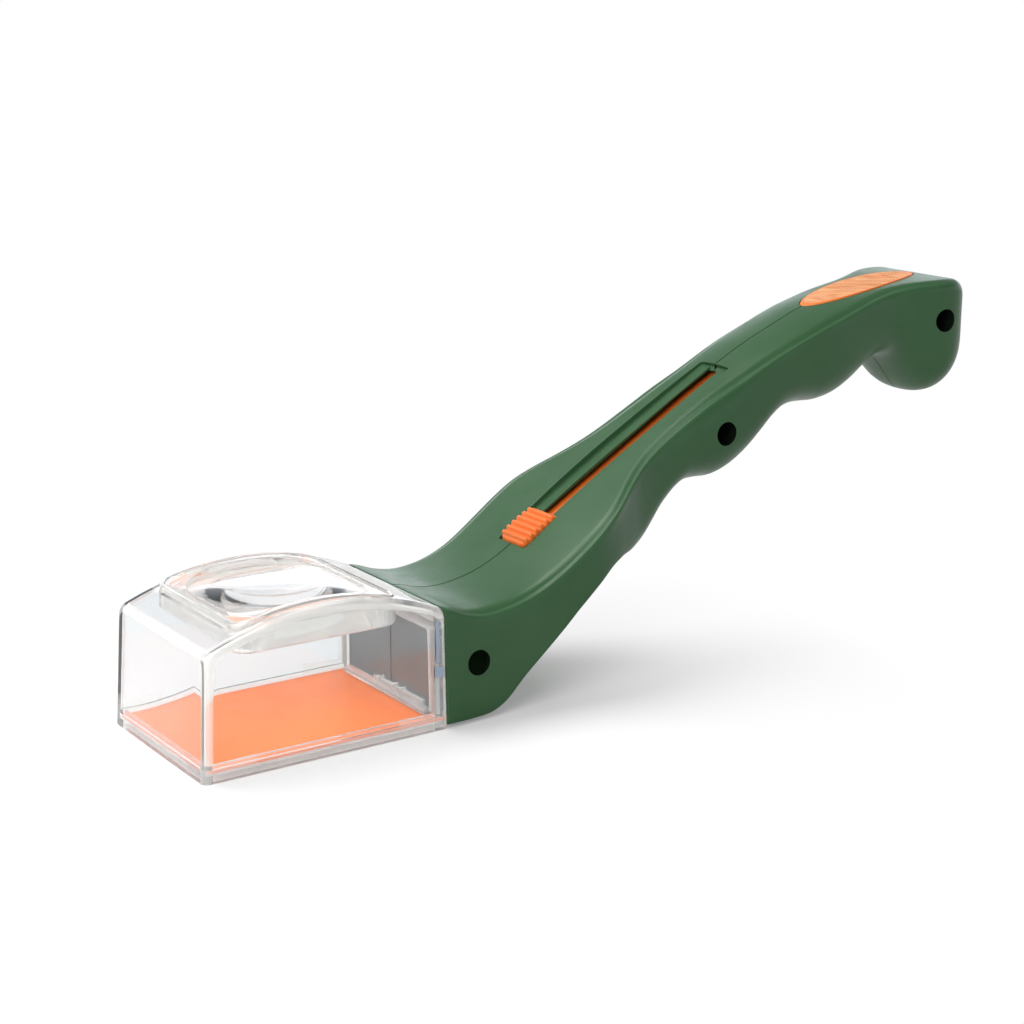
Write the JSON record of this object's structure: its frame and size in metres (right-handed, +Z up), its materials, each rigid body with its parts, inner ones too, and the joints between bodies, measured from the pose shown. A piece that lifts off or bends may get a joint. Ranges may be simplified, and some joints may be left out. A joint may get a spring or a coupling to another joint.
{
  "type": "bug catcher",
  "caption": "Hand-held bug catcher: clear catch chamber with a magnifier roof on a two-shell handle, and a thumb slide that draws the flexible trap-door floor back.",
  "frame": {"origin": "centre of the footprint in plan, on the plane of the chamber rim's underside", "axes": "+X from the chamber along the handle to the butt, +Y across towards the right shell, +Z up through the magnifier"},
  "size_m": [0.2978, 0.06, 0.1127],
  "materials": {
    "clear_plastic": "clear, polished",
    "smoky_plastic": "tinted, polished",
    "green_plastic": "satin, dark leaf green",
    "orange_plastic": "satin orange",
    "grip_plastic": "soft, with fine wavy lines",
    "screw_steel": "zinc-plated"
  },
  "bodies": {
    "root": {"chamber": "clear_plastic", "magnifier_lens": "clear_plastic", "chamber_back_wall": "smoky_plastic", "left_shell": "green_plastic", "right_shell": "green_plastic", "slide_track": "orange_plastic", "grip_pad": "grip_plastic", "screw_front": "screw_steel", "screw_middle": "screw_steel", "screw_butt": "screw_steel"},
    "thumb": {"thumb_button": "orange_plastic", "slide_carriage": "orange_plastic"},
    "door": {"trap_door": "orange_plastic"}
  },
  "joints": [
    {"name": "thumb_slide", "type": "slide", "parent": "root", "child": "thumb", "axis": [0.859, 0, 0.512], "range_m": [0, 0.075]},
    {"name": "door_slide", "type": "slide", "parent": "root", "child": "door", "axis": [1, 0, 0], "range_m": [0, 0.075], "deforming": ["trap_door"]}
  ],
  "couplings": [
    {"joint": "door_slide", "follows": "thumb_slide", "ratio": 1}
  ]
}
